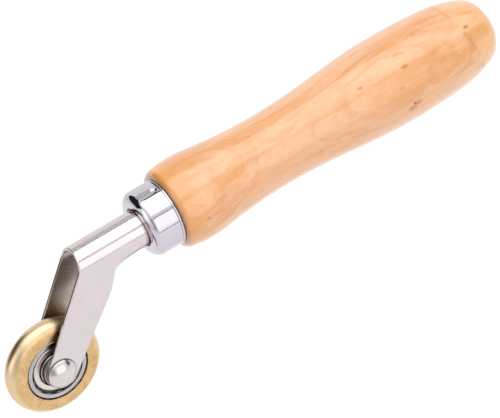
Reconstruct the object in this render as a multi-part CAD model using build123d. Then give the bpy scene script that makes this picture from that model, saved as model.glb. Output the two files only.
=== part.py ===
from build123d import *
import math
import os

# Hand seam roller. Millimetres.
# The handle's axis is parallel to +X with its butt at +X. +Z is up and Y is across.
# The origin is the point under the axle where the roller touches its work.
# Left is the -Y side and right is the +Y side.

os.makedirs("parts", exist_ok=True)

# ---------------------------------------------------------------- driving dimensions

# brass roller
ROLLER_OD = 34.4
ROLLER_WIDTH = 7.6
ROLLER_BORE_CHAMFER = 0.3

# deep groove ball bearing, 8 x 22 x 7
BEARING_BORE = 8.0
BEARING_OD = 22.0
BEARING_WIDTH = 7.0
BEARING_CHAMFER = 0.3
BALL_D = 3.969
BALL_COUNT = 7
BALL_CIRCLE_R = 7.5
BALL_PLAY = 0.03
CAGE_PLAY = 0.05
GROOVE_R = 2.06
OUTER_LAND_R = 8.6
OUTER_LIP_R = 9.3
SHIELD_SEAT_R = 9.45
INNER_SHOULDER_R = 6.05
CAGE_INNER_R = 6.75
CAGE_OUTER_R = 8.25
CAGE_SHEET = 0.35
CAGE_RIVET_R = 0.4
SHIELD_INNER_R = 6.35
SHIELD_SHEET = 0.3
SHIELD_BACK_Y = 2.4
SHIELD_PANEL_R = 8.0
SHIELD_PANEL_RISE = 0.12
WIRE_R = 0.25
WIRE_RING_R = 9.2
WIRE_GAP_DEG = 7.0
WIRE_GAP_AT_DEG = -80.0

# axle
SPACER_OD = 11.0
SPACER_CHAMFER = 0.2
RIVET_HEAD_D = 10.3
RIVET_HEAD_H = 2.7
RIVET_RIM_H = 0.3
RIVET_RIM_SOFTNESS = 0.15

# fork
HANDLE_RISE = 30.9
SHANK_OD = 12.8
SHEET = 1.2
LEG_FRONT_R = 5.15
LEG_FRONT_DEG = 54.2
LEG_BACK_R = 6.2
LEG_BACK_DEG = 48.3
ARCH_BEND_Z = 32.5
ARCH_LEAN_DEG = 76.0
BEND_SOFTNESS = 4.0
HEEL_SOFTNESS = 7.0
NECK_SOFTNESS = 2.0
NECK_X = 28.2
HEEL_X = 25.4
SEAM_GAP = 0.3
FOLD_START_X = 27.8
FOLD_END_X = 41.0
FOLD_EASE = 3.0
FOLD_STEPS = 6
FOLD_SHARE_FIRST = 0.03
FOLD_SHARE_LAST = 0.98
SEAM_CLOSED_X = 35.0
CUT_EDGE_R = 0.35
SHANK_IN_HANDLE = 40.0

# ferrule
SEAM_X = 53.8
FERRULE_FRONT_X = 43.0
FERRULE_OD = 23.4
FERRULE_WALL = 1.2
FERRULE_HOLE_D = 13.9
FERRULE_NOSE_R = 3.2
BEAD_WIDTH = 0.95
BEAD_RISE = 0.22
BEAD_GROOVE_WIDTH = 0.2
BEAD_GROOVE_DEPTH = 0.12
DIMPLE_X = 50.9
DIMPLE_DEG = 98.0
DIMPLE_R = 1.7
DIMPLE_DEPTH = 0.75
DIMPLE_INSIDE = 0.4
FERRULE_MOUTH_R = 0.35

# handle: distance behind the ferrule and radius there
HANDLE_LENGTH = 132.8
SHOULDER_START = (0.0, 12.4)
SHOULDER_MIDDLE = (0.75, 13.6)
HANDLE_STATIONS = [
    (2.8, 14.4),
    (7.0, 15.0),
    (20.8, 14.05),
    (41.0, 12.85),
    (63.0, 13.9),
    (78.0, 15.4),
    (92.0, 16.05),
    (107.0, 15.75),
    (119.5, 14.5),
    (128.0, 12.1),
]
BUTT_FLAT_R = 6.4

# derived places
AXLE_Z = ROLLER_OD / 2
HANDLE_Z = AXLE_Z + HANDLE_RISE
LEG_Y = SHANK_OD / 2
LEG_IN_Y = LEG_Y - SHEET
BUTT_X = SEAM_X + HANDLE_LENGTH


# ---------------------------------------------------------------- helpers

def turned_on_axle(points):
    """Solid of revolution about the axle from (radius, y) corner points."""
    wire = Polyline([(r, y, AXLE_Z) for r, y in points], close=True)
    return revolve(make_face(wire), Axis((0, 0, AXLE_Z), (0, 1, 0)))


def axle_cylinder(radius, y_low, y_high):
    """Cylinder along the axle between two Y values."""
    plane = Plane(origin=(0, y_low, AXLE_Z), x_dir=(1, 0, 0), z_dir=(0, 1, 0))
    return extrude(plane * Circle(radius), amount=y_high - y_low)


def shank_cylinder(radius, x_low, x_high):
    """Cylinder along the handle's axis between two X values."""
    plane = Plane(origin=(x_low, 0, HANDLE_Z), x_dir=(0, 1, 0), z_dir=(1, 0, 0))
    return extrude(plane * Circle(radius), amount=x_high - x_low)


def turned_over(solid):
    """The same piece on the other side, turned half a turn about a line along X."""
    return solid.rotate(Axis((0, 0, AXLE_Z), (1, 0, 0)), 180)


def save(solid, name):
    """Write one named piece."""
    pieces = solid.solids()
    if len(pieces) != 1:
        raise ValueError(f"{name} has {len(pieces)} solids")
    piece = pieces[0]
    piece.label = name
    export_step(piece, f"parts/{name}.step")


# ---------------------------------------------------------------- roller

def make_roller():
    half = ROLLER_WIDTH / 2
    bore = BEARING_OD / 2
    rim = ROLLER_OD / 2 - half
    cut = ROLLER_BORE_CHAMFER
    edges = [
        Line((bore, -half + cut, AXLE_Z), (bore + cut, -half, AXLE_Z)),
        Line((bore + cut, -half, AXLE_Z), (rim, -half, AXLE_Z)),
        ThreePointArc((rim, -half, AXLE_Z), (rim + half, 0, AXLE_Z), (rim, half, AXLE_Z)),
        Line((rim, half, AXLE_Z), (bore + cut, half, AXLE_Z)),
        Line((bore + cut, half, AXLE_Z), (bore, half - cut, AXLE_Z)),
        Line((bore, half - cut, AXLE_Z), (bore, -half + cut, AXLE_Z)),
    ]
    return revolve(make_face(edges), Axis((0, 0, AXLE_Z), (0, 1, 0)))


# ---------------------------------------------------------------- bearing

def groove_torus(centre_r):
    """Raceway cutter: a ring of the groove's section."""
    plane = Plane(origin=(centre_r, 0, AXLE_Z), x_dir=(1, 0, 0), z_dir=(0, 0, 1))
    return revolve(plane * Circle(GROOVE_R), Axis((0, 0, AXLE_Z), (0, 1, 0)))


def make_outer_ring():
    half = BEARING_WIDTH / 2
    outer = BEARING_OD / 2
    cut = BEARING_CHAMFER
    wire_low = SHIELD_BACK_Y + SHIELD_SHEET
    wire_high = wire_low + 2 * WIRE_R
    groove = WIRE_RING_R + WIRE_R + 0.05
    side = [
        (OUTER_LAND_R, SHIELD_BACK_Y),
        (SHIELD_SEAT_R, SHIELD_BACK_Y),
        (SHIELD_SEAT_R, wire_low),
        (groove, wire_low),
        (groove, wire_high),
        (OUTER_LIP_R, wire_high),
        (OUTER_LIP_R, half),
        (outer - cut, half),
        (outer, half - cut),
    ]
    other = [(r, -y) for r, y in reversed(side)]
    ring = turned_on_axle(side + other)
    bottom_r = BALL_CIRCLE_R + BALL_D / 2 + BALL_PLAY
    return ring - groove_torus(bottom_r - GROOVE_R)


def make_inner_ring():
    half = BEARING_WIDTH / 2
    bore = BEARING_BORE / 2
    cut = BEARING_CHAMFER
    side = [
        (bore, half - cut),
        (bore + cut, half),
        (INNER_SHOULDER_R - cut, half),
        (INNER_SHOULDER_R, half - cut),
    ]
    other = [(r, -y) for r, y in reversed(side)]
    ring = turned_on_axle(side + other)
    bottom_r = BALL_CIRCLE_R - BALL_D / 2 - BALL_PLAY
    return ring - groove_torus(bottom_r + GROOVE_R)


def ball_centre(index):
    turn = 2 * math.pi * index / BALL_COUNT
    x = BALL_CIRCLE_R * math.cos(turn)
    z = AXLE_Z + BALL_CIRCLE_R * math.sin(turn)
    return (x, 0, z)


def make_ball(index):
    return Pos(*ball_centre(index)) * Sphere(BALL_D / 2)


def make_cage_half():
    """Pressed ribbon that cups the balls from the left, with a rivet head between balls."""
    pocket_r = BALL_D / 2 + CAGE_PLAY
    ribbon = axle_cylinder(CAGE_OUTER_R, -CAGE_SHEET, 0)
    for index in range(BALL_COUNT):
        ribbon += Pos(*ball_centre(index)) * Sphere(pocket_r + CAGE_SHEET)
    for index in range(BALL_COUNT):
        ribbon += Pos(0, -CAGE_SHEET, 0) * Pos(*ball_centre(index + 0.5)) * Sphere(CAGE_RIVET_R)
    deep = -BEARING_WIDTH / 2
    band = axle_cylinder(CAGE_OUTER_R, deep, 0) - axle_cylinder(CAGE_INNER_R, deep, 0)
    ribbon = ribbon & band
    for index in range(BALL_COUNT):
        ribbon -= Pos(*ball_centre(index)) * Sphere(pocket_r)
    return ribbon


def make_shield():
    """Left shield: flat rim in the ring's seat and a panel pressed outward."""
    back = -SHIELD_BACK_Y
    face = back - SHIELD_SHEET
    rise = SHIELD_PANEL_RISE
    foot_r = SHIELD_PANEL_R + SHIELD_SHEET
    points = [
        (SHIELD_INNER_R, back - rise),
        (SHIELD_PANEL_R, back - rise),
        (foot_r, back),
        (SHIELD_SEAT_R, back),
        (SHIELD_SEAT_R, face),
        (foot_r, face),
        (SHIELD_PANEL_R, face - rise),
        (SHIELD_INNER_R, face - rise),
    ]
    return turned_on_axle(points)


def make_snap_ring():
    """Left split wire ring that holds the shield in its seat."""
    y = -(SHIELD_BACK_Y + SHIELD_SHEET + WIRE_R)
    start = math.radians(WIRE_GAP_AT_DEG + WIRE_GAP_DEG / 2)
    plane = Plane(
        origin=(WIRE_RING_R * math.cos(start), y, AXLE_Z + WIRE_RING_R * math.sin(start)),
        x_dir=(math.cos(start), 0, math.sin(start)),
        z_dir=(-math.sin(start), 0, math.cos(start)),
    )
    axis = Axis((0, y, AXLE_Z), (0, -1, 0))
    return revolve(plane * Circle(WIRE_R), axis, revolution_arc=360 - WIRE_GAP_DEG)


# ---------------------------------------------------------------- axle

def make_spacer():
    """Left collar between the bearing's inner ring and the leg."""
    near = -BEARING_WIDTH / 2
    far = -LEG_IN_Y
    cut = SPACER_CHAMFER
    points = [
        (BEARING_BORE / 2, near),
        (SPACER_OD / 2 - cut, near),
        (SPACER_OD / 2, near - cut),
        (SPACER_OD / 2, far + cut),
        (SPACER_OD / 2 - cut, far),
        (BEARING_BORE / 2, far),
    ]
    return turned_on_axle(points)


def make_rivet():
    head_r = RIVET_HEAD_D / 2
    dome_h = RIVET_HEAD_H - RIVET_RIM_H
    dome_r = (head_r ** 2 + dome_h ** 2) / (2 * dome_h)
    rivet = axle_cylinder(BEARING_BORE / 2, -LEG_Y, LEG_Y)
    for side in (-1, 1):
        ball = Pos(0, side * (LEG_Y + RIVET_HEAD_H - dome_r), AXLE_Z) * Sphere(dome_r)
        ends = sorted((side * LEG_Y, side * (LEG_Y + RIVET_HEAD_H + 1)))
        cap = ball & axle_cylinder(head_r, *ends)
        rim = cap.edges().sort_by_distance((0, side * (LEG_Y + RIVET_RIM_H), AXLE_Z + head_r))[0]
        rivet += fillet(rim, RIVET_RIM_SOFTNESS)
    return rivet


# ---------------------------------------------------------------- fork

def across_shank(x, edges):
    """Face across the shank at one X, drawn with Y to the right and Z up."""
    plane = Plane(origin=(x, 0, HANDLE_Z), x_dir=(0, 1, 0), z_dir=(1, 0, 0))
    return plane * make_face(edges)


def rolled_section(x, radius, corner_r):
    """Round top, upright sides, and lower corners of the given radius."""
    low = radius - corner_r
    mid = low + corner_r * math.sqrt(0.5)
    edges = [
        ThreePointArc((radius, 0), (0, radius), (-radius, 0)),
        Line((-radius, 0), (-radius, -low)),
        ThreePointArc((-radius, -low), (-mid, -mid), (-low, -radius)),
        Line((-low, -radius), (low, -radius)),
        ThreePointArc((low, -radius), (mid, -mid), (radius, -low)),
        Line((radius, -low), (radius, 0)),
    ]
    return across_shank(x, edges)


def rolled_body(radius, front_x, end_x):
    """The space inside one face of the sheet: a deep U in front, a round shank behind."""
    edges = [
        ThreePointArc((radius, 0), (0, radius), (-radius, 0)),
        Line((-radius, 0), (-radius, -HANDLE_Z)),
        Line((-radius, -HANDLE_Z), (radius, -HANDLE_Z)),
        Line((radius, -HANDLE_Z), (radius, 0)),
    ]
    body = extrude(across_shank(front_x, edges), amount=FOLD_START_X - front_x)
    sections = []
    for step in range(FOLD_STEPS + 1):
        run = (FOLD_END_X - FOLD_START_X) * (step / FOLD_STEPS) ** 2
        grown = (FOLD_SHARE_LAST - FOLD_SHARE_FIRST) * (1 - math.exp(-run / FOLD_EASE))
        share = FOLD_SHARE_FIRST + grown
        sections.append(rolled_section(FOLD_START_X + run, radius, radius * share))
    body += loft(sections)
    body += shank_cylinder(radius, FOLD_END_X, end_x)
    return body


def soften(solid, corner, radius):
    """Round the edge that runs across the fork at one (x, z) corner of its outline."""
    place = (corner[0], 0, AXLE_Z + corner[1])
    edge = solid.edges().filter_by(Axis.Y).sort_by_distance(place)[0]
    return fillet(edge, radius)


def fork_outline(end_x):
    """The fork's outline seen from the side, measured from the axle, as a thick block."""
    front = math.radians(LEG_FRONT_DEG)
    back = math.radians(LEG_BACK_DEG)
    above = HANDLE_RISE + LEG_Y + 2
    under = HANDLE_RISE - LEG_Y
    # the leg's end is one arc that runs tangent into both of its edges
    end_r = (LEG_FRONT_R + LEG_BACK_R) / 2
    offset = end_r - LEG_FRONT_R
    spread = math.sin(front - back)
    end_x0 = offset * (math.cos(back) - math.cos(front)) / spread
    end_z0 = offset * (math.sin(back) - math.sin(front)) / spread
    toe_front = (end_x0 - end_r * math.sin(front), end_z0 + end_r * math.cos(front))
    toe_back = (end_x0 + end_r * math.sin(back), end_z0 - end_r * math.cos(back))
    toe = math.radians(180 + (LEG_FRONT_DEG + LEG_BACK_DEG) / 2)
    toe_mid = (end_x0 + end_r * math.cos(toe), end_z0 + end_r * math.sin(toe))
    bend_x = (ARCH_BEND_Z * math.cos(front) - LEG_FRONT_R) / math.sin(front)
    bend = (bend_x, ARCH_BEND_Z)
    arch = (bend_x + (above - ARCH_BEND_Z) / math.tan(math.radians(ARCH_LEAN_DEG)), above)
    heel = (HEEL_X, (HEEL_X * math.sin(back) - LEG_BACK_R) / math.cos(back))
    neck = (NECK_X, under)
    edges = [
        Line(arch, bend),
        Line(bend, toe_front),
        ThreePointArc(toe_front, toe_mid, toe_back),
        Line(toe_back, heel),
        Line(heel, neck),
        Line(neck, (NECK_X + 2, under)),
        Line((NECK_X + 2, under), (NECK_X + 2, under - 1)),
        Line((NECK_X + 2, under - 1), (end_x, under - 1)),
        Line((end_x, under - 1), (end_x, above)),
        Line((end_x, above), arch),
    ]
    plane = Plane(origin=(0, 0, AXLE_Z), x_dir=(1, 0, 0), z_dir=(0, -1, 0))
    block = extrude(plane * make_face(edges), amount=LEG_Y + 1, both=True)
    block = soften(block, bend, BEND_SOFTNESS)
    block = soften(block, heel, HEEL_SOFTNESS)
    block = soften(block, neck, NECK_SOFTNESS)
    return block


def cut_edges(fork):
    """The long edges that the press tool left round the legs and the arch, on both faces."""
    found = []
    for edge in fork.edges():
        start = edge @ 0
        middle = edge @ 0.5
        end = edge @ 1
        same_place = abs(start.X - end.X) + abs(start.Z - end.Z) < 0.001
        across = same_place and edge.geom_type == GeomType.LINE
        level = abs(start.Z - HANDLE_Z) + abs(end.Z - HANDLE_Z) < 0.001
        in_hole = abs(math.hypot(middle.X, middle.Z - AXLE_Z) - BEARING_BORE / 2) < 0.2
        rolled = middle.X > NECK_X - 1
        if not (across or level or in_hole or rolled):
            found.append(edge)
    return found


def seam_slot(end_x):
    """The open underside: as wide as the fork in front, closing to the shank's seam."""
    wide = LEG_IN_Y
    thin = SEAM_GAP / 2
    base = Plane(origin=(0, 0, HANDLE_Z - LEG_Y - 1))
    corners = [
        (FOLD_START_X - 1, -wide),
        (FOLD_START_X, -wide),
        (SEAM_CLOSED_X, -thin),
        (end_x + 1, -thin),
        (end_x + 1, thin),
        (SEAM_CLOSED_X, thin),
        (FOLD_START_X, wide),
        (FOLD_START_X - 1, wide),
    ]
    face = make_face(Polyline(corners, close=True))
    return extrude(base * face, amount=4)


def make_fork():
    """One sheet: two flat legs, a rounded arch over the roller, and a rolled shank."""
    end_x = SEAM_X + SHANK_IN_HANDLE
    outside = rolled_body(LEG_Y, -LEG_BACK_R - 2, end_x)
    inside = rolled_body(LEG_IN_Y, -LEG_BACK_R - 4, end_x + 2)
    fork = (outside & fork_outline(end_x)) - inside
    fork -= seam_slot(end_x)
    fork -= axle_cylinder(BEARING_BORE / 2, -LEG_Y - 1, LEG_Y + 1)
    return fillet(cut_edges(fork), CUT_EDGE_R)


# ---------------------------------------------------------------- ferrule and handle

def turned_on_handle(edges):
    """Solid of revolution about the handle's axis from edges drawn as (x, radius)."""
    plane = Plane(origin=(0, 0, HANDLE_Z), x_dir=(1, 0, 0), z_dir=(0, -1, 0))
    return revolve(plane * make_face(edges), Axis((0, 0, HANDLE_Z), (1, 0, 0)))


def dimple_ball(centre_r, radius):
    """Sphere on the punched dimple's line through the ferrule's wall."""
    turn = math.radians(DIMPLE_DEG)
    y = centre_r * math.cos(turn)
    z = HANDLE_Z + centre_r * math.sin(turn)
    return Pos(DIMPLE_X, y, z) * Sphere(radius)


def make_ferrule():
    """Drawn cup with a round nose, a hole for the shank and one punched dimple."""
    outer = FERRULE_OD / 2
    inner = outer - FERRULE_WALL
    hole = FERRULE_HOLE_D / 2
    front = FERRULE_FRONT_X
    nose = FERRULE_NOSE_R
    cup = FERRULE_NOSE_R - FERRULE_WALL
    wall = FERRULE_WALL
    bead = SEAM_X - BEAD_WIDTH
    valley = outer - BEAD_GROOVE_DEPTH
    soft = math.sqrt(0.5)
    mouth = FERRULE_MOUTH_R
    edges = [
        Line((front + wall, hole), (front + mouth, hole)),
        ThreePointArc(
            (front + mouth, hole),
            (front + mouth * (1 - soft), hole + mouth * (1 - soft)),
            (front, hole + mouth),
        ),
        Line((front, hole + mouth), (front, outer - nose)),
        ThreePointArc(
            (front, outer - nose),
            (front + nose * (1 - soft), outer - nose * (1 - soft)),
            (front + nose, outer),
        ),
        Line((front + nose, outer), (bead - BEAD_GROOVE_WIDTH, outer)),
        Line((bead - BEAD_GROOVE_WIDTH, outer), (bead, valley)),
        ThreePointArc((bead, valley), (SEAM_X - BEAD_WIDTH / 2, outer + BEAD_RISE), (SEAM_X, valley)),
        Line((SEAM_X, valley), (SEAM_X, inner)),
        Line((SEAM_X, inner), (front + nose, inner)),
        ThreePointArc(
            (front + nose, inner),
            (front + nose - cup * soft, outer - nose + cup * soft),
            (front + wall, outer - nose),
        ),
        Line((front + wall, outer - nose), (front + wall, hole)),
    ]
    ferrule = turned_on_handle(edges)
    bump = dimple_ball(inner + DIMPLE_R - DIMPLE_INSIDE, DIMPLE_R)
    bump = bump & shank_cylinder(inner + 0.1, DIMPLE_X - 3, DIMPLE_X + 3)
    ferrule += bump
    ferrule -= dimple_ball(outer + DIMPLE_R - DIMPLE_DEPTH, DIMPLE_R)
    return ferrule


def make_handle():
    """Turned grip with a tenon in the ferrule and a blind bore for the shank."""
    tenon_r = FERRULE_OD / 2 - FERRULE_WALL
    tenon_x = FERRULE_FRONT_X + FERRULE_WALL
    tenon_cut = FERRULE_NOSE_R - FERRULE_WALL + 0.1
    points = [(SEAM_X + x, r) for x, r in HANDLE_STATIONS]
    start = (SEAM_X + SHOULDER_START[0], SHOULDER_START[1])
    middle = (SEAM_X + SHOULDER_MIDDLE[0], SHOULDER_MIDDLE[1])
    skin = Spline(points)
    corner = TangentArc(skin @ 1, (BUTT_X, BUTT_FLAT_R), tangent=skin % 1)
    edges = [
        Line((tenon_x, 0), (tenon_x, tenon_r - tenon_cut)),
        Line((tenon_x, tenon_r - tenon_cut), (tenon_x + tenon_cut, tenon_r)),
        Line((tenon_x + tenon_cut, tenon_r), (SEAM_X, tenon_r)),
        Line((SEAM_X, tenon_r), start),
        ThreePointArc(start, middle, points[0]),
        skin,
        corner,
        Line((BUTT_X, BUTT_FLAT_R), (BUTT_X, 0)),
        Line((BUTT_X, 0), (tenon_x, 0)),
    ]
    handle = turned_on_handle(edges)
    bore_end = SEAM_X + SHANK_IN_HANDLE + 1
    handle -= shank_cylinder(SHANK_OD / 2, tenon_x - 1, bore_end)
    handle -= dimple_ball(tenon_r + DIMPLE_R - DIMPLE_INSIDE, DIMPLE_R)
    return handle


# ---------------------------------------------------------------- write every piece

save(make_handle(), "handle")
save(make_ferrule(), "ferrule")
save(make_fork(), "fork")
save(make_roller(), "brass_roller")
save(make_outer_ring(), "bearing_outer_ring")
save(make_inner_ring(), "bearing_inner_ring")
save(make_rivet(), "axle_rivet")

for number in range(BALL_COUNT):
    save(make_ball(number), f"bearing_ball_{number + 1}")

paired = {
    "bearing_cage": make_cage_half(),
    "bearing_shield": make_shield(),
    "shield_snap_ring": make_snap_ring(),
    "axle_spacer": make_spacer(),
}
for name, left in paired.items():
    save(left, f"{name}_left")
    save(turned_over(left), f"{name}_right")
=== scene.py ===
import math

import bpy
from mathutils import Matrix, Vector


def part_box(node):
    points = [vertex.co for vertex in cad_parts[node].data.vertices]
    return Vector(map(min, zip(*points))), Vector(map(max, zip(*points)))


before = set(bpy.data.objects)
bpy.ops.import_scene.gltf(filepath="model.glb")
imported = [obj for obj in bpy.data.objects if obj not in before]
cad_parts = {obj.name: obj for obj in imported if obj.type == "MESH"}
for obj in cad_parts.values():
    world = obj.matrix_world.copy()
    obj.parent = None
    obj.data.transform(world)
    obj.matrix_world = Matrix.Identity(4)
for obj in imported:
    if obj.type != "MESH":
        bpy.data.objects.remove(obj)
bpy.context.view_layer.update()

# Hand seam roller: a brass roller on a shielded ball bearing, held by a folded steel fork whose
# shank runs into a plated ferrule and a turned, varnished wooden handle.
# Everything is in metres in the frame of the CAD model: the handle points along +X, Z is up.

MM = 0.001
MICRON = 0.000001


def middle(node):
    low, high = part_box(node)
    return (low + high) / 2


ROLLER_CENTRE = middle("brass_roller")
AXLE_Z = ROLLER_CENTRE.z
HANDLE_Z = middle("handle").z
BUTT_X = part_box("handle")[1].x
SEAM_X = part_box("ferrule")[1].x
LEG_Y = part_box("fork")[1].y

# ---------------------------------------------------------------- studio

CAMERA_AZIMUTH = -24.79
CAMERA_ELEVATION = 36.90
CAMERA_ROLL = -15.34
CAMERA_DISTANCE = 0.8
CAMERA_LENS = 176.5
ROLLER_LEFT_OF_AXIS = 0.06447
ROLLER_BELOW_AXIS = 0.05060
SENSOR_WIDTH = 36.0

FLOOR_Z = -0.15
FLOOR_SIDE = 12.0
FLOOR_COLOUR = (0.78, 0.775, 0.78, 1)
FLOOR_ROUGHNESS = 0.9
FLOOR_GLOSS = 0.1
WORLD_COLOUR = (1, 0.995, 1, 1)
WORLD_LIGHT = 1.15
PANEL_WATTS = 1.6    # watts for each square metre of panel and unit of brightness
STUDIO_CENTRE = Vector((0.05, 0, AXLE_Z))

PANELS = [
    # name, two opposite corners in metres, brightness
    ("front_panel", (-0.35, -0.9, -0.11), (0.60, -0.9, 0.70), 1.3),
    ("top_panel", (-0.45, -0.74, 0.9), (1.3, 0.24, 0.9), 2.6),
    ("end_panel", (-0.9, -0.13, 0.05), (-0.9, 0.22, 0.62), 1.9),
]
CARDS = [
    # name, direction from the studio's centre, distance, width along X and height in metres, shade
    ("front_frame_low", (0.08, -0.90, -0.155), 0.91, 1.05, 0.05, 0.25),
    ("front_frame_high", (0.08, -0.90, 0.745), 1.16, 1.05, 0.05, 0.30),
    ("top_frame_back", (0.35, 0.280, 0.90), 1.00, 1.7, 0.080, 0.06),
    ("back_wall_shade", (0.35, 0.55, 0.77), 1.01, 1.6, 0.40, 0.68),
    ("dark_card_far", (-0.58, 0.68, 0.44), 1.3, 1.25, 1.25, 0.02),
    ("dark_card_near", (-0.70, -0.64, 0.24), 1.3, 0.60, 0.85, 0.45),
    ("dark_card_right", (0.86, -0.48, 0.20), 1.3, 0.5, 0.6, 0.05),
]


def make_camera():
    azimuth = math.radians(CAMERA_AZIMUTH)
    elevation = math.radians(CAMERA_ELEVATION)
    roll = math.radians(CAMERA_ROLL)
    flat = math.cos(elevation)
    back = Vector((math.sin(azimuth) * flat, -math.cos(azimuth) * flat, math.sin(elevation)))
    level = Vector((math.cos(azimuth), math.sin(azimuth), 0))
    upright = back.cross(level)
    right = math.cos(roll) * level + math.sin(roll) * upright
    up = math.cos(roll) * upright - math.sin(roll) * level
    data = bpy.data.cameras.new("camera")
    data.lens = CAMERA_LENS
    data.sensor_width = SENSOR_WIDTH
    camera = bpy.data.objects.new("camera", data)
    place = ROLLER_CENTRE + CAMERA_DISTANCE * back + ROLLER_LEFT_OF_AXIS * right + ROLLER_BELOW_AXIS * up
    axes = Matrix((right, up, back)).transposed()
    camera.matrix_world = Matrix.Translation(place) @ axes.to_4x4()
    bpy.context.scene.collection.objects.link(camera)
    bpy.context.scene.camera = camera


def make_softbox(name, low, high, radiance):
    """A flat, evenly bright panel between two opposite corners, one of whose coordinates is equal."""
    centre = (low + high) / 2
    size = high - low
    data = bpy.data.lights.new(name, "AREA")
    data.shape = "RECTANGLE"
    flat_axis = min(range(3), key=lambda axis: abs(size[axis]))
    normal = Vector((0, 0, 0))
    normal[flat_axis] = 1 if STUDIO_CENTRE[flat_axis] > centre[flat_axis] else -1
    side = Vector((0, 0, 0))
    side[0 if flat_axis != 0 else 1] = 1
    other = (-normal).cross(side)
    data.size = abs(size.dot(side))
    data.size_y = abs(size.dot(other))
    data.energy = PANEL_WATTS * data.size * data.size_y * radiance
    lamp = bpy.data.objects.new(name, data)
    axes = Matrix((side, other, -normal)).transposed()
    lamp.matrix_world = Matrix.Translation(centre) @ axes.to_4x4()
    bpy.context.scene.collection.objects.link(lamp)
    lamp.visible_camera = False


def make_sheet(name, width, height, z, colour, roughness, gloss):
    """A flat rectangle about its own Z axis, with a plain surface."""
    x, y = width / 2, height / 2
    mesh = bpy.data.meshes.new(name)
    mesh.from_pydata([(-x, -y, z), (x, -y, z), (x, y, z), (-x, y, z)], [], [(0, 1, 2, 3)])
    sheet = bpy.data.objects.new(name, mesh)
    bpy.context.scene.collection.objects.link(sheet)
    material = bpy.data.materials.new(name)
    material.use_nodes = True
    shader = material.node_tree.nodes["Principled BSDF"]
    shader.inputs["Base Color"].default_value = colour
    shader.inputs["Roughness"].default_value = roughness
    shader.inputs["Specular IOR Level"].default_value = gloss
    mesh.materials.append(material)
    return sheet


def make_card(name, direction, distance, width, height, shade):
    """A plain card that faces the tool, its width as near to X as it can be, for the metal to mirror."""
    outward = direction.normalized()
    side = Vector((1, 0, 0)) - outward * outward.x
    side.normalize()
    axes = Matrix((side, outward.cross(side), outward)).transposed()
    card = make_sheet(name, width, height, 0, (shade, shade, shade, 1), 1.0, 0.0)
    card.matrix_world = Matrix.Translation(STUDIO_CENTRE + outward * distance) @ axes.to_4x4()
    card.visible_camera = False
    card.visible_diffuse = False
    card.visible_shadow = False


def make_floor():
    floor = make_sheet("floor", FLOOR_SIDE, FLOOR_SIDE, FLOOR_Z, FLOOR_COLOUR, FLOOR_ROUGHNESS, FLOOR_GLOSS)


def make_studio():
    world = bpy.data.worlds.new("studio")
    bpy.context.scene.world = world
    world.use_nodes = True
    background = world.node_tree.nodes["Background"]
    background.inputs["Color"].default_value = WORLD_COLOUR
    background.inputs["Strength"].default_value = WORLD_LIGHT
    bpy.context.scene.view_settings.view_transform = "Standard"
    for name, low, high, radiance in PANELS:
        make_softbox(name, Vector(low), Vector(high), radiance)
    for name, direction, distance, width, height, shade in CARDS:
        make_card(name, Vector(direction), distance, width, height, shade)
    make_floor()


# ---------------------------------------------------------------- material helpers

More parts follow.
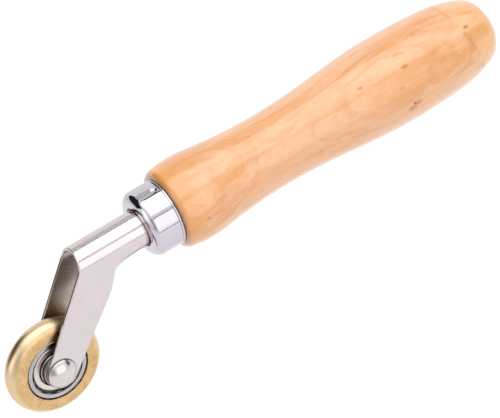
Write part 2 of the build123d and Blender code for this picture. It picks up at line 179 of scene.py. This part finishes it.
class Surface:
    """A node material under construction: short calls for the nodes that the looks below need."""

    def __init__(self, name):
        self.material = bpy.data.materials.new(name)
        self.material.use_nodes = True
        self.tree = self.material.node_tree
        self.tree.nodes.clear()
        output = self.tree.nodes.new("ShaderNodeOutputMaterial")
        self.shader = self.tree.nodes.new("ShaderNodeBsdfPrincipled")
        self.tree.links.new(self.shader.outputs["BSDF"], output.inputs["Surface"])
        self.place = self.tree.nodes.new("ShaderNodeTexCoord").outputs["Object"]

    def put(self, socket, value):
        if isinstance(value, bpy.types.NodeSocket):
            self.tree.links.new(value, socket)
        else:
            socket.default_value = value

    def set(self, **values):
        """Constants and sockets for the shader, by the socket's name with _ for a space."""
        for name, value in values.items():
            self.put(self.shader.inputs[name.replace("_", " ")], value)

    def math(self, operation, a, b=0.0, c=0.0, clamp=False):
        node = self.tree.nodes.new("ShaderNodeMath")
        node.operation = operation
        node.use_clamp = clamp
        for socket, value in zip(node.inputs, (a, b, c)):
            self.put(socket, value)
        return node.outputs[0]

    def vector(self, operation, a, b=(0, 0, 0)):
        node = self.tree.nodes.new("ShaderNodeVectorMath")
        node.operation = operation
        self.put(node.inputs[0], a)
        self.put(node.inputs[1], b)
        return node.outputs["Value" if operation == "LENGTH" else 0]

    def split(self, vector):
        node = self.tree.nodes.new("ShaderNodeSeparateXYZ")
        self.put(node.inputs[0], vector)
        return node.outputs[0], node.outputs[1], node.outputs[2]

    def join(self, x, y, z):
        node = self.tree.nodes.new("ShaderNodeCombineXYZ")
        for socket, value in zip(node.inputs, (x, y, z)):
            self.put(socket, value)
        return node.outputs[0]

    def noise(self, vector, scale, detail, roughness, distortion=0.0, colour=False):
        node = self.tree.nodes.new("ShaderNodeTexNoise")
        self.put(node.inputs["Vector"], vector)
        node.inputs["Scale"].default_value = scale
        node.inputs["Detail"].default_value = detail
        node.inputs["Roughness"].default_value = roughness
        node.inputs["Distortion"].default_value = distortion
        return node.outputs["Color" if colour else "Fac"]

    def span(self, value, low, high, to_low=0.0, to_high=1.0, smooth=True):
        """value taken from low..high to to_low..to_high, and held at the ends."""
        node = self.tree.nodes.new("ShaderNodeMapRange")
        node.interpolation_type = "SMOOTHSTEP" if smooth else "LINEAR"
        for name, number in (("From Min", low), ("From Max", high), ("To Min", to_low), ("To Max", to_high)):
            node.inputs[name].default_value = number
        self.put(node.inputs["Value"], value)
        return node.outputs["Result"]

    def mix(self, share, a, b):
        node = self.tree.nodes.new("ShaderNodeMix")
        node.data_type = "RGBA"
        sockets = {socket.name: socket for socket in node.inputs if socket.enabled}
        self.put(sockets["Factor"], share)
        self.put(sockets["A"], a)
        self.put(sockets["B"], b)
        return [socket for socket in node.outputs if socket.enabled][0]

    def band(self, value, at, half_width):
        """1 where value is at the given place and 0 beyond half_width from it."""
        away = self.math("ABSOLUTE", self.math("SUBTRACT", value, at))
        return self.span(away, 0.35 * half_width, half_width, 1.0, 0.0)

    def bump(self, height, distance, strength, normal=None):
        node = self.tree.nodes.new("ShaderNodeBump")
        node.inputs["Strength"].default_value = strength
        node.inputs["Distance"].default_value = distance
        self.put(node.inputs["Height"], height)
        if normal is not None:
            self.put(node.inputs["Normal"], normal)
        return node.outputs["Normal"]


def round_axle(s):
    """Radius from the axle's line, place along it and angle about it."""
    x, y, z = s.split(s.place)
    up = s.math("SUBTRACT", z, AXLE_Z)
    radius = s.vector("LENGTH", s.join(x, 0.0, up))
    return radius, y, s.math("ARCTAN2", up, x)


def axle_radius(s):
    """Radius from the axle's line alone."""
    x, _, z = s.split(s.place)
    return s.vector("LENGTH", s.join(x, 0.0, s.math("SUBTRACT", z, AXLE_Z)))


def round_handle(s):
    """Radius from the handle's line, place along X and angle about it, 0 at +Y and a quarter turn at +Z."""
    x, y, z = s.split(s.place)
    up = s.math("SUBTRACT", z, HANDLE_Z)
    radius = s.vector("LENGTH", s.join(0.0, y, up))
    return radius, x, s.math("ARCTAN2", up, y)


def turned_lines(s, radius, along, angle, per_mm):
    """Fine rings that a lathe or a grinder leaves round an axis."""
    rate = per_mm / MM
    around = s.math("MULTIPLY", angle, 0.8)
    rings = s.join(s.math("MULTIPLY", radius, rate), s.math("MULTIPLY", along, rate), around)
    return s.noise(rings, 1.0, 3.0, 0.6)


def rgba(red, green, blue):
    return (red, green, blue, 1.0)


# ---------------------------------------------------------------- wood

PINK = rgba(0.595, 0.312, 0.150)
HONEY = rgba(0.540, 0.238, 0.068)
AMBER = rgba(0.480, 0.178, 0.036)
PALE = rgba(0.680, 0.405, 0.215)
RAY = rgba(0.250, 0.095, 0.032)
FIGURE = rgba(0.460, 0.160, 0.050)
SHOULDER = rgba(0.560, 0.225, 0.042)
SEAM_SHADE = rgba(0.26, 0.115, 0.035)
END_GRAIN = rgba(0.640, 0.360, 0.135)
CUT_LINE = rgba(0.420, 0.150, 0.045)
KNOT_EDGE = rgba(0.430, 0.150, 0.015)
KNOT = rgba(0.120, 0.036, 0.004)

GRIP_RADIUS = 14.5             # millimetres, turns angles into widths on the surface
YEAR_RING = 0.0031
GRAIN_DRIFT = 0.0110
PITH_Y, PITH_Z = 0.042, -0.026                # the tree's middle from the handle's line, at X = 0
PITH_Y_SLOPE, PITH_Z_SLOPE = 0.015, -0.020    # how much nearer and higher it lies for each metre of X
WAIST_BEHIND = 0.053
WAIST_REACH = (0.012, 0.040)
SHOULDER_REACH = (SEAM_X + 0.0005, SEAM_X + 0.010)
SEAM_REACH = (SEAM_X, SEAM_X + 0.0011)
END_TILT = 0.25
END_REACH = (BUTT_X - 0.0128, BUTT_X - 0.0115)
CUT_PLACE = (BUTT_X - 0.0125, 0.0009)

PIN_MARKS = [
    # millimetres behind the ferrule, degrees about the handle (90 is the top), length and width
    # in millimetres, strength
    (120.0, 132, 1.1, 0.6, 1.0),
    (92.5, 137, 1.3, 0.5, 0.8),
    (92.2, 119, 1.6, 0.4, 0.5),
    (94.5, 121, 0.9, 0.3, 0.5),
    (88.0, 158, 0.9, 0.4, 0.5),
    (75.0, 132, 0.8, 0.5, 0.9),
    (91.2, 186, 0.8, 0.7, 1.0),
    (92.6, 187, 1.3, 0.7, 0.7),
    (90.0, 191, 1.7, 0.8, 0.75),
    (7.5, 179, 0.7, 0.5, 0.7),
    (34.0, 108, 0.8, 0.3, 0.5),
    (52.0, 40, 1.0, 0.5, 0.8),
    (101.0, 320, 1.2, 0.5, 0.8),
    (66.0, 255, 0.9, 0.4, 0.7),
    (23.0, 300, 0.8, 0.5, 0.7),
]
OVALS = [
    # millimetres behind the ferrule, degrees about the handle, half length and half width in millimetres
    (14, 130, 19.5, 13.0),
    (88, 150, 33.0, 13.0),
    (60, -40, 48.0, 15.0),
]


def grain(s, place, along, across, detail, roughness, distortion=0.0):
    """Noise drawn out along the handle, with its rate along the grain and across it."""
    return s.noise(s.vector("MULTIPLY", place, (along, across, across)), 1.0, detail, roughness, distortion)


def pin_marks(s, along, angle):
    """Small knots and bark flecks, each a short dark dash along the grain."""
    arc = s.math("MULTIPLY", angle, GRIP_RADIUS * MM)
    ragged = s.noise(s.place, 2600, 2.0, 0.6)
    total = 0.0
    for behind, degrees, length, width, strength in PIN_MARKS:
        turn = math.radians(degrees if degrees <= 180 else degrees - 360)
        u = s.math("DIVIDE", s.math("SUBTRACT", along, SEAM_X + behind * MM), length * MM)
        v = s.math("DIVIDE", s.math("SUBTRACT", arc, turn * GRIP_RADIUS * MM), width * MM)
        reach = s.math("MULTIPLY_ADD", ragged, 1.3, s.vector("LENGTH", s.join(u, v, 0.0)))
        total = s.math("MAXIMUM", total, s.span(reach, 0.85, 2.15, strength, 0.0, smooth=False))
    return total


def ovals(s, along, angle, behind, degrees, length, width):
    """Two nested oval growth lines, as flat-sawn wood shows them, about one place on the handle."""
    u = s.math("DIVIDE", s.math("SUBTRACT", along, SEAM_X + behind * MM), length * MM)
    v = s.math("MULTIPLY", s.math("SUBTRACT", angle, math.radians(degrees)), GRIP_RADIUS / width)
    wander = s.math("SUBTRACT", grain(s, s.place, 62, 100, 1.0, 0.5), 0.5)
    reach = s.math("MULTIPLY_ADD", wander, 0.34, s.vector("LENGTH", s.join(u, v, 0.0)))
    broken = s.span(grain(s, s.place, 60, 200, 2.0, 0.5), 0.38, 0.62, 0.25, 1.0)
    lines = s.math("MULTIPLY", s.band(reach, 1.0, 0.040), 0.65)
    lines = s.math("MAXIMUM", lines, s.math("MULTIPLY", s.band(reach, 0.70, 0.040), 0.35))
    shade = s.math("MULTIPLY", s.span(reach, 0.80, 1.0), s.span(reach, 1.0, 1.08, 0.18, 0.0))
    return s.math("MULTIPLY", s.math("MAXIMUM", lines, shade), broken)


def drifted(s, place):
    """The same places, moved a little across the grain so that no growth line runs straight."""
    drift = s.noise(s.vector("MULTIPLY", place, (16, 44, 44)), 1.0, 2.0, 0.5, colour=True)
    drift = s.vector("SUBTRACT", drift, (0.5, 0.5, 0.5))
    return s.vector("ADD", place, s.vector("MULTIPLY", drift, (0.0, GRAIN_DRIFT, GRAIN_DRIFT)))


def growth_rings(s, board):
    """The late wood of each year, in rings that lie almost level with the handle's near upper face."""
    x, y, z = s.split(board)
    side = s.math("ADD", y, s.math("MULTIPLY_ADD", x, PITH_Y_SLOPE, -PITH_Y))
    height = s.math("ADD", z, s.math("MULTIPLY_ADD", x, PITH_Z_SLOPE, -PITH_Z))
    from_pith = s.vector("LENGTH", s.join(0.0, side, height))
    year = s.math("FRACT", s.math("MULTIPLY", from_pith, 1 / YEAR_RING))
    return s.math("MULTIPLY", s.span(year, 0.62, 0.96), s.span(year, 0.96, 1.0, 1.0, 0.0))


def board_colour(s, board, along, blotch, patch, fibre, mottle):
    """Honey and pink wood, pinker at the waist, with amber worn places, growth lines and fine grain."""
    streak = grain(s, board, 34, 480, 2.0, 0.6)
    ray = grain(s, board, 520, 2600, 1.0, 0.5)
    from_waist = s.math("ABSOLUTE", s.math("SUBTRACT", along, SEAM_X + WAIST_BEHIND))
    waist = s.span(from_waist, *WAIST_REACH, 1.0, 0.0)
    pinkness = s.math("ADD", s.span(blotch, 0.38, 0.62), s.math("MULTIPLY", waist, 0.5), clamp=True)
    colour = s.mix(pinkness, HONEY, PINK)
    worn = s.math("MULTIPLY_ADD", waist, -0.30, 0.45)
    colour = s.mix(s.math("MULTIPLY", s.span(patch, 0.52, 0.74), worn), colour, AMBER)
    faint = s.span(patch, 0.30, 0.65, 0.12, 0.42)
    colour = s.mix(s.math("MULTIPLY", growth_rings(s, board), faint), colour, AMBER)
    fine = ((streak, 0.54, 0.80, 0.28), (fibre, 0.50, 0.85, 0.22), (mottle, 0.50, 0.80, 0.28))
    for pattern, low, high, most in fine:
        colour = s.mix(s.math("MULTIPLY", s.span(pattern, low, high), most), colour, AMBER)
    colour = s.mix(s.math("MULTIPLY", s.span(mottle, 0.46, 0.26), 0.25), colour, PALE)
    dashes = s.math("MULTIPLY", s.span(ray, 0.66, 0.76), s.span(blotch, 0.40, 0.70, 0.10, 0.40))
    return s.mix(dashes, colour, RAY)


def end_marks(s, colour, board, along, patch):
    """The darker shoulder and a painted shade at the seam behind the ferrule, then the paler end and its
    turned line.
    """
    shoulder = s.span(along, *SHOULDER_REACH, 1.0, 0.0)
    shoulder = s.math("MULTIPLY", shoulder, s.span(patch, 0.30, 0.60, 0.45, 1.0))
    colour = s.mix(s.math("MULTIPLY", shoulder, 0.75), colour, SHOULDER)
    # painted shade in the thin gap behind the ferrule's edge
    colour = s.mix(s.span(along, *SEAM_REACH, 0.8, 0.0), colour, SEAM_SHADE)
    x, _, z = s.split(board)
    end = s.math("MULTIPLY_ADD", z, END_TILT, x)
    colour = s.mix(s.span(end, *END_REACH, 0.0, 0.30), colour, END_GRAIN)
    cut = s.math("MULTIPLY", s.band(end, *CUT_PLACE), s.span(patch, 0.35, 0.60, 0.0, 0.55))
    return s.mix(cut, colour, CUT_LINE)


def make_wood():
    s = Surface("varnished_wood")
    _, along, angle = round_handle(s)
    centred = s.vector("SUBTRACT", s.place, (0, 0, HANDLE_Z))
    board = drifted(s, centred)
    blotch = grain(s, board, 26, 110, 4.0, 0.6, 0.5)
    patch = grain(s, board, 48, 190, 3.0, 0.55, 0.7)
    fibre = grain(s, board, 110, 2100, 2.0, 0.6)
    mottle = grain(s, board, 420, 620, 3.0, 0.6)

    colour = board_colour(s, board, along, blotch, patch, fibre, mottle)
    figure = 0.0
    for oval in OVALS:
        figure = s.math("MAXIMUM", figure, ovals(s, along, angle, *oval))
    colour = s.mix(s.math("MULTIPLY", figure, s.span(mottle, 0.3, 0.6, 0.35, 0.75)), colour, FIGURE)
    colour = end_marks(s, colour, board, along, patch)
    marks = pin_marks(s, along, angle)
    colour = s.mix(s.span(marks, 0.0, 0.35, 0.0, 0.80), colour, KNOT_EDGE)
    colour = s.mix(s.span(marks, 0.55, 1.00), colour, KNOT)

    s.set(Base_Color=colour, Roughness=s.span(blotch, 0.2, 0.8, 0.30, 0.40), Specular_IOR_Level=0.35)
    s.set(Coat_Weight=1.0, Coat_Roughness=s.span(mottle, 0.3, 0.7, 0.12, 0.18), Coat_IOR=1.62)
    pores = s.bump(fibre, 20 * MICRON, 0.5)
    wave = grain(s, centred, 70, 180, 2.0, 0.5)
    orange_peel = s.noise(s.place, 900, 2.0, 0.5)
    coat = s.bump(orange_peel, 30 * MICRON, 0.5, s.bump(wave, 400 * MICRON, 0.6))
    s.set(Normal=pores, Coat_Normal=coat)
    return s.material


# ---------------------------------------------------------------- metals

# near-black painted shade, laid into the gaps, corners and recesses of the metal parts
GAP_SHADE = rgba(0.022, 0.018, 0.015)
TARNISH = rgba(0.46, 0.265, 0.110)
PITTED_BRASS = rgba(0.30, 0.165, 0.060)
RUBBED_BRASS = rgba(0.74, 0.585, 0.400)
# painted shade for the inner ring
INNER_RING_SHADE = rgba(0.26, 0.24, 0.24)
# painted shade for the fork's inner face, and under its arch
SHADED_SHEET = rgba(0.640, 0.555, 0.490)
ARCH_SHADE = rgba(0.14, 0.115, 0.095)

SMUDGE_SIZE = 0.012

# radii about the axle: where a span starts and ends, or a line's middle and half width
BRASS_RUBBED = (14.6 * MM, 16.2 * MM)
BRASS_EDGE = (11.05 * MM, 0.32 * MM)
RING_FIT = (10.84 * MM, 10.94 * MM)
RING_LIP = (9.32 * MM, 9.44 * MM)
RING_OUTER = (7.0 * MM, 8.0 * MM)
RING_INNER = (6.5 * MM, 7.5 * MM)
RING_LINE = (5.58 * MM, 0.22 * MM)
WIRE_MIDDLE = 9.13 * MM
WIRE_EDGE = (0.07 * MM, 0.14 * MM)
SHIELD_SEAT = (8.26 * MM, 8.40 * MM)
SHIELD_MOUTH = (6.45 * MM, 6.62 * MM)
RIVET_EDGE = (5.2 * MM, 0.30 * MM)

RIVET_CORNER = (LEG_Y + 0.30 * MM, LEG_Y + 0.55 * MM)    # from the tool's middle plane
FORK_INSIDE = (LEG_Y - 0.9 * MM, LEG_Y - 0.5 * MM)
FORK_ARCH = (HANDLE_Z - 4.5 * MM, 6.5 * MM)              # a height and how far the shade reaches


def metal(name, light, dark, polish, axis=None, per_mm=None, grain_mm=None,
          relief=4 * MICRON, wave=0.0, tone=None, painted_shade=None):
    """A bare or plated metal in two near shades, its roughness between the two values of polish.

    It has fine lines about an axis, per_mm of them, or without an axis an even grain of grain_mm.
    tone(s, colour) gives the colour after larger marks, the last argument the share of painted shade in
    corners and gaps.
    """
    s = Surface(name)
    smudge = s.noise(s.place, 1 / SMUDGE_SIZE, 4.0, 0.6, 0.5)
    if axis is None:
        lines = s.noise(s.place, 1 / (grain_mm * MM), 3.0, 0.6)
    else:
        lines = turned_lines(s, *axis(s), per_mm)
    line_share = s.math("MULTIPLY", s.span(lines, 0.3, 0.8), 0.3)
    share = s.math("MULTIPLY_ADD", s.span(smudge, 0.35, 0.70), 0.7, line_share)
    colour = s.mix(share, rgba(*light), rgba(*dark))
    rough = s.math("ADD", s.span(smudge, 0.3, 0.75, *polish), s.span(lines, 0.3, 0.8, -0.02, 0.03))
    if tone is not None:
        colour = tone(s, colour)
    if painted_shade is not None:
        # painted shade: this share darkens the colour towards near black and roughens the surface
        shade_share = painted_shade(s)
        colour = s.mix(shade_share, colour, GAP_SHADE)
        rough = s.math("MULTIPLY_ADD", shade_share, 0.4, rough)
    normal = s.bump(lines, relief, 1.0)
    if wave:
        normal = s.bump(s.noise(s.place, 160, 2.0, 0.5), wave, 1.0, normal)
    s.set(Metallic=1.0, Base_Color=colour, Roughness=rough, Normal=normal)
    return s.material


def uneven(s, share, low):
    """The same share, lowered to low here and there."""
    return s.math("MULTIPLY", share, s.span(s.noise(s.place, 700, 3.0, 0.6), 0.35, 0.60, low, 1.0))


def brass_marks(s, colour):
    """Brown tarnish, and pale rubbed places where the roller meets its work."""
    cloud = s.noise(s.place, 260, 4.0, 0.65, 1.0)
    spots = s.noise(s.place, 1300, 3.0, 0.6)
    brown = s.math("MULTIPLY", s.span(cloud, 0.46, 0.70), s.span(spots, 0.35, 0.65, 0.25, 0.80))
    colour = s.mix(brown, colour, TARNISH)
    specks = s.span(s.noise(s.place, 2300, 2.0, 0.6), 0.52, 0.68)
    pits = s.math("MULTIPLY", specks, s.span(cloud, 0.35, 0.60, 0.15, 0.65))
    colour = s.mix(pits, colour, PITTED_BRASS)
    rubbed = s.math("MAXIMUM", s.span(cloud, 0.45, 0.25), s.span(axle_radius(s), *BRASS_RUBBED))
    return s.mix(s.math("MULTIPLY", rubbed, 0.6), colour, RUBBED_BRASS)


def brass_gap_shade(s):
    """Painted shade: a dark line in the gap where the roller's face meets the bearing."""
    return uneven(s, s.band(axle_radius(s), *BRASS_EDGE), 0.7)


def ring_marks(s, colour):
    """Painted shade: the inner ring, in the dark gap beside the leg, is made darker than the outer one."""
    return s.mix(s.span(axle_radius(s), *RING_INNER, 0.6, 0.0), colour, INNER_RING_SHADE)


def ring_gap_shade(s):
    """Painted shade at the ring's fit in the roller, inside the lip where the wire sits and on the inner
    ring.
    """
    radius = axle_radius(s)
    fit = s.span(radius, *RING_FIT)
    lip = s.math("MULTIPLY", s.span(radius, *RING_LIP, 1.0, 0.0), s.span(radius, *RING_OUTER))
    line = s.band(radius, *RING_LINE)
    return uneven(s, s.math("MAXIMUM", s.math("MAXIMUM", fit, lip), line), 0.8)


def shield_gap_shade(s):
    """Painted shade at the shield's seat under the wire and at its mouth round the inner ring."""
    radius = axle_radius(s)
    seat = s.span(radius, *SHIELD_SEAT)
    mouth = s.span(radius, *SHIELD_MOUTH, 1.0, 0.0)
    return uneven(s, s.math("MAXIMUM", seat, mouth), 0.8)


def wire_gap_shade(s):
    """Painted shade along both sides of the wire, and over it in places."""
    from_middle = s.math("ABSOLUTE", s.math("SUBTRACT", axle_radius(s), WIRE_MIDDLE))
    shaded_over = s.span(s.noise(s.place, 420, 2.0, 0.5), 0.44, 0.54, 0.2, 0.9)
    return s.math("MAXIMUM", s.span(from_middle, *WIRE_EDGE), shaded_over)


def rivet_corner_shade(s):
    """Painted shade in the corner where the head meets the leg."""
    _, y, _ = s.split(s.place)
    return uneven(s, s.span(s.math("ABSOLUTE", y), *RIVET_CORNER, 0.9, 0.0), 0.6)


def inside_fork(s):
    """1 on the folded sheet's inner face and 0 on its outer face."""
    _, y, z = s.split(s.place)
    above = s.math("MAXIMUM", s.math("SUBTRACT", z, HANDLE_Z), 0.0)
    return s.span(s.vector("LENGTH", s.join(0.0, y, above)), *FORK_INSIDE, 1.0, 0.0)


def fork_marks(s, colour):
    """Painted shade inside the fork: a browner inner face, darkest under the arch."""
    inside = inside_fork(s)
    cloud = s.noise(s.place, 120, 3.0, 0.6)
    colour = s.mix(s.math("MULTIPLY", inside, s.span(cloud, 0.3, 0.7, 0.85, 1.0)), colour, SHADED_SHEET)
    _, _, z = s.split(s.place)
    arch = s.math("MULTIPLY", inside, s.math("MULTIPLY", s.band(z, *FORK_ARCH), 0.50))
    return s.mix(arch, colour, ARCH_SHADE)


def fork_inside_shade(s):
    """Painted shade: a dark share over the fork's inner face, and round the rivet's head outside."""
    inside = inside_fork(s)
    corner = uneven(s, s.math("MULTIPLY", s.band(axle_radius(s), *RIVET_EDGE), 0.75), 0.5)
    outer_corner = s.math("MULTIPLY", corner, s.math("SUBTRACT", 1.0, inside))
    return s.math("MAXIMUM", s.math("MULTIPLY", inside, 0.40), outer_corner)


METALS = {
    "roller_brass": {
        "light": (0.625, 0.435, 0.215), "dark": (0.555, 0.370, 0.170), "polish": (0.29, 0.37),
        "axis": round_axle, "per_mm": 7.0, "relief": 12 * MICRON, "tone": brass_marks, "painted_shade": brass_gap_shade},
    "ferrule_plate": {
        "light": (0.535, 0.512, 0.560), "dark": (0.515, 0.492, 0.538), "polish": (0.06, 0.11),
        "axis": round_handle, "per_mm": 5.0, "relief": 2 * MICRON, "wave": 40 * MICRON},
    "fork_steel": {
        "light": (0.605, 0.545, 0.550), "dark": (0.560, 0.502, 0.507), "polish": (0.11, 0.18),
        "grain_mm": 0.35, "relief": 6 * MICRON, "tone": fork_marks, "painted_shade": fork_inside_shade},
    "rivet_steel": {
        "light": (0.590, 0.550, 0.552), "dark": (0.530, 0.490, 0.495), "polish": (0.17, 0.24),
        "axis": round_axle, "per_mm": 8.0, "relief": 6 * MICRON, "wave": 30 * MICRON, "painted_shade": rivet_corner_shade},
    "spacer_steel": {
        "light": (0.36, 0.33, 0.31), "dark": (0.28, 0.25, 0.23), "polish": (0.22, 0.34),
        "axis": round_axle, "per_mm": 8.0},
    "ring_steel": {
        "light": (0.470, 0.440, 0.450), "dark": (0.370, 0.345, 0.352), "polish": (0.16, 0.26),
        "axis": round_axle, "per_mm": 10.0, "tone": ring_marks, "painted_shade": ring_gap_shade},
    "shield_steel": {
        "light": (0.660, 0.610, 0.560), "dark": (0.560, 0.510, 0.465), "polish": (0.28, 0.38),
        "axis": round_axle, "per_mm": 8.0, "painted_shade": shield_gap_shade},
    "spring_wire": {
        "light": (0.46, 0.45, 0.48), "dark": (0.38, 0.37, 0.39), "polish": (0.15, 0.25),
        "grain_mm": 0.3, "painted_shade": wire_gap_shade},
    "ball_steel": {
        "light": (0.62, 0.62, 0.64), "dark": (0.58, 0.58, 0.60), "polish": (0.04, 0.07),
        "grain_mm": 0.3},
    "cage_steel": {
        "light": (0.50, 0.48, 0.44), "dark": (0.42, 0.40, 0.37), "polish": (0.25, 0.35),
        "grain_mm": 0.4},
}


def make_materials():
    looks = {"varnished_wood": make_wood()}
    for name, look in METALS.items():
        looks[name] = metal(name, **look)
    return looks


def dress_nodes(looks):
    """Each CAD node keeps its shape and takes the material of its slot."""
    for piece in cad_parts.values():
        slot_name = piece.data.materials[0].name
        piece.material_slots[0].material = looks[slot_name.split(".")[0]]


make_studio()
make_camera()
dress_nodes(make_materials())
